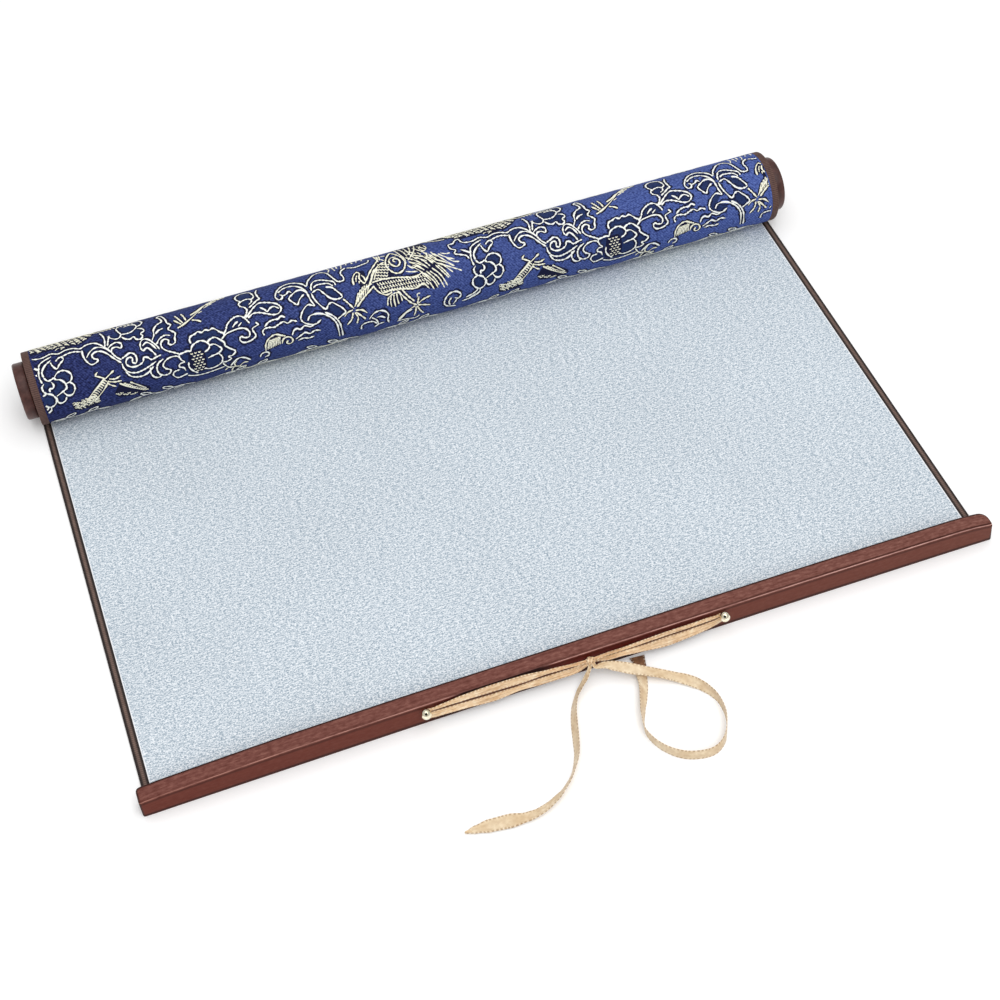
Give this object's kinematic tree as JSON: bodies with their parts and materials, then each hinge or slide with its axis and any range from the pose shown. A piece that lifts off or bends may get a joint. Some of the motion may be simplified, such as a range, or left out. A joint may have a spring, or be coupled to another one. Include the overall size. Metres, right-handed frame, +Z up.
{
  "type": "water writing cloth scroll",
  "caption": "Water writing cloth on a brocade backing, partly unrolled from a wooden roller with knobs, with a hanging rod, brass nails and a tied ribbon.",
  "frame": {"origin": "middle of the object's footprint without the ribbon, on the table plane", "axes": "+X along the two rods, +Y from the hanging rod to the roller, +Z up from the table"},
  "size_m": [0.4428, 0.3481, 0.0403],
  "materials": {
    "writing_cloth": "matt woven, pale grey blue",
    "brocade": "satin, deep blue with gold thread",
    "edging": "matt woven, dark brown",
    "rod_wood": "stained and waxed, satin",
    "roller_wood": "plain, matt",
    "knob_wood": "stained and waxed, satin",
    "ribbon": "woven, light sheen",
    "nail_brass": "polished"
  },
  "bodies": {
    "rod_and_sheet": {"hanging_rod": "rod_wood", "hanger_nail_left": "nail_brass", "hanger_nail_right": "nail_brass", "hanger_strand_upper": "ribbon", "hanger_strand_lower": "ribbon", "tie_knot": "ribbon", "tie_tail_free": "ribbon", "tie_tail_loop": "ribbon", "writing_cloth_flat": "writing_cloth", "brocade_flat": "brocade", "edging_left_flat": "edging", "edging_right_flat": "edging"},
    "outer_turn": {"writing_cloth_outer_turn": "writing_cloth", "brocade_outer_turn": "brocade", "edging_left_outer_turn": "edging", "edging_right_outer_turn": "edging"},
    "roller": {"writing_cloth_inner_turns": "writing_cloth", "brocade_inner_turns": "brocade", "edging_left_inner_turns": "edging", "edging_right_inner_turns": "edging", "roller_rod": "roller_wood", "roller_knob_left": "knob_wood", "roller_knob_right": "knob_wood"}
  },
  "joints": [
    {"name": "unroll_travel", "type": "slide", "parent": "rod_and_sheet", "child": "outer_turn", "axis": [0, 1, 0], "range_m": [-0.2325, 0.41], "deforming": ["writing_cloth_flat", "brocade_flat", "edging_left_flat", "edging_right_flat"]},
    {"name": "roller_turn", "type": "hinge", "parent": "outer_turn", "child": "roller", "pos_m": [0, 0.12308, 0.02013], "axis": [1, 0, 0], "range_deg": [-1170, 664]}
  ],
  "couplings": [
    {"joint": "roller_turn", "follows": "unroll_travel", "rad_per_m": -49.677}
  ]
}
